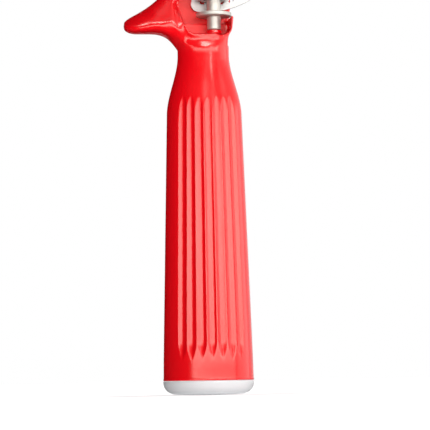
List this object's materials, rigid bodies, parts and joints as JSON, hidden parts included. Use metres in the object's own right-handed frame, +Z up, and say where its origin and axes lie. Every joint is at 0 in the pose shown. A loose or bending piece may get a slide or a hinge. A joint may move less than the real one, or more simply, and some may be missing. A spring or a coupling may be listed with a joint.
{
  "type": "thumb-press portion scoop",
  "caption": "Portion scoop with a fluted plastic handle, a finger guard and a sprung thumb lever that drives a scraper blade round the inside of a round steel bowl.",
  "frame": {"origin": "centre of the flat bottom of the end cap, on the grip's axis", "axes": "+Z up the grip towards the bowl, -Y out of the head's window and the bowl's mouth, +X towards the thumb lever"},
  "size_m": [0.0867, 0.0378, 0.2324],
  "materials": {
    "handle_plastic": "glossy moulded",
    "cap_plastic": "satin moulded",
    "bar_steel": "turned stainless",
    "gear_steel": "cut stainless",
    "sheet_steel": "stamped, tumbled stainless",
    "spring_steel": "drawn wire",
    "bowl_steel": "polished stainless",
    "bearing_plastic": "turned acetal"
  },
  "bodies": {
    "body": {"handle": "handle_plastic", "end_cap": "cap_plastic", "lever_pivot_screw": "bar_steel", "lever_washer": "bearing_plastic", "lever_stop_pin": "bar_steel", "handle_bush": "bearing_plastic", "bowl_bush": "bearing_plastic", "shank_tube": "bar_steel", "shank_lock_pin": "bar_steel", "bowl_ferrule": "sheet_steel", "bowl": "bowl_steel", "tip_rivet": "bar_steel", "tip_washer": "bearing_plastic", "return_spring": "spring_steel"},
    "lever": {"thumb_lever": "sheet_steel"},
    "sweep": {"spindle": "bar_steel", "retaining_washer": "bar_steel", "pinion": "gear_steel", "pinion_pin": "gear_steel", "scraper_blade": "sheet_steel"}
  },
  "joints": [
    {"name": "lever_press", "type": "hinge", "parent": "body", "child": "lever", "pos_m": [0.0039, 0.00585, 0.16445], "axis": [0, 1, 0], "range_deg": [0, 28.88]},
    {"name": "scraper_turn", "type": "hinge", "parent": "body", "child": "sweep", "pos_m": [0.0039, 0, 0.20655], "axis": [0, 0, 1], "range_deg": [0, 156], "stiffness_Nm_per_rad": 0.03, "springref_deg": -68.75, "deforming": ["return_spring"]}
  ],
  "couplings": [
    {"joint": "scraper_turn", "follows": "lever_press", "ratio": 5.4}
  ]
}
